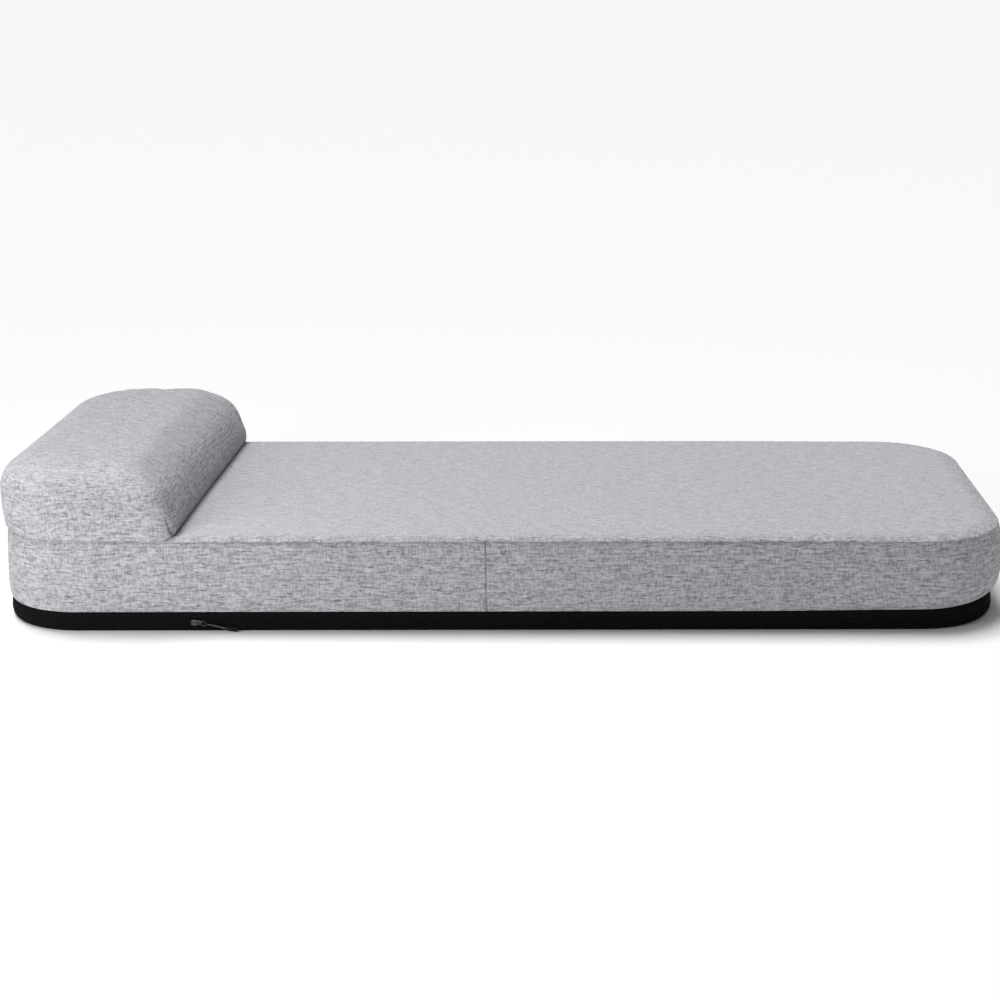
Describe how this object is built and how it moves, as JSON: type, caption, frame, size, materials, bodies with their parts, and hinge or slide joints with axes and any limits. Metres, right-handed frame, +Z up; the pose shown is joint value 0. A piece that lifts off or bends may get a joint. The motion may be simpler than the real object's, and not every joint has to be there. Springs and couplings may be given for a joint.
{
  "type": "futon sofa bed",
  "caption": "Legless floor sofa bed: a long rounded mattress with a loaf-shaped bolster at one end, a zipped black base, and a mid-length fold that raises the head half as a backrest.",
  "frame": {"origin": "middle of the footprint at floor level, with the bed lying flat", "axes": "+X along the length towards the foot end, away from the bolster; +Y towards the rear long side, away from the side with the zip pull; +Z up from the floor"},
  "size_m": [1.9, 0.738, 0.315],
  "materials": {
    "grey_fabric": "matte",
    "black_fabric": "matte",
    "zip_tape": "satin",
    "foam": "matte",
    "frame_steel": "satin",
    "bright_steel": "satin",
    "webbing": "matte",
    "zip_metal": "satin",
    "pull_cord": "matte"
  },
  "bodies": {
    "seat": {"seat_base_panel": "black_fabric", "seat_zip_tape_lower": "zip_tape", "seat_zip_tape_upper": "zip_tape", "seat_black_band": "black_fabric", "seat_side_band": "grey_fabric", "seat_top_panel": "grey_fabric", "seat_under_pad": "foam", "seat_edge_foam": "foam", "seat_support_foam": "foam", "seat_comfort_foam": "foam", "seat_frame_tube": "frame_steel", "seat_cross_tube_1": "frame_steel", "seat_cross_tube_2": "frame_steel", "seat_strap_1": "webbing", "seat_strap_2": "webbing", "seat_strap_3": "webbing", "seat_hinge_plate_front": "frame_steel", "seat_hinge_plate_rear": "frame_steel", "pivot_pin_front": "bright_steel", "pivot_pin_rear": "bright_steel", "fold_foam": "foam", "fold_top_strip": "grey_fabric", "fold_side_band_front": "grey_fabric", "fold_side_band_rear": "grey_fabric", "fold_black_band_front": "black_fabric", "fold_black_band_rear": "black_fabric", "fold_base_strip": "black_fabric"},
    "back": {"back_base_panel": "black_fabric", "back_zip_tape_lower": "zip_tape", "back_zip_tape_upper": "zip_tape", "back_black_band": "black_fabric", "back_side_band": "grey_fabric", "back_top_panel": "grey_fabric", "back_under_pad": "foam", "back_edge_foam": "foam", "back_support_foam": "foam", "back_comfort_foam": "foam", "back_frame_tube": "frame_steel", "back_cross_tube_1": "frame_steel", "back_cross_tube_2": "frame_steel", "back_strap_1": "webbing", "back_strap_2": "webbing", "back_strap_3": "webbing", "back_hinge_plate_front": "frame_steel", "back_hinge_plate_rear": "frame_steel", "bolster_cover": "grey_fabric", "bolster_core": "foam"},
    "zip_slider": {"zip_slider": "zip_metal"},
    "zip_pull": {"zip_pull": "pull_cord"}
  },
  "joints": [
    {"name": "backrest_fold", "type": "hinge", "parent": "seat", "child": "back", "pos_m": [-0.022, 0, 0.11], "axis": [0, 1, 0], "range_deg": [0, 90], "deforming": ["fold_foam", "fold_top_strip", "fold_side_band_front", "fold_side_band_rear", "fold_black_band_front", "fold_black_band_rear", "fold_base_strip"]},
    {"name": "zip_slide", "type": "slide", "parent": "back", "child": "zip_slider", "axis": [1, 0, 0], "range_m": [-0.2, 0.42]},
    {"name": "pull_swing", "type": "hinge", "parent": "zip_slider", "child": "zip_pull", "pos_m": [-0.5565, -0.3646, 0.017], "axis": [0, 0, -1], "range_deg": [0, 160]}
  ]
}
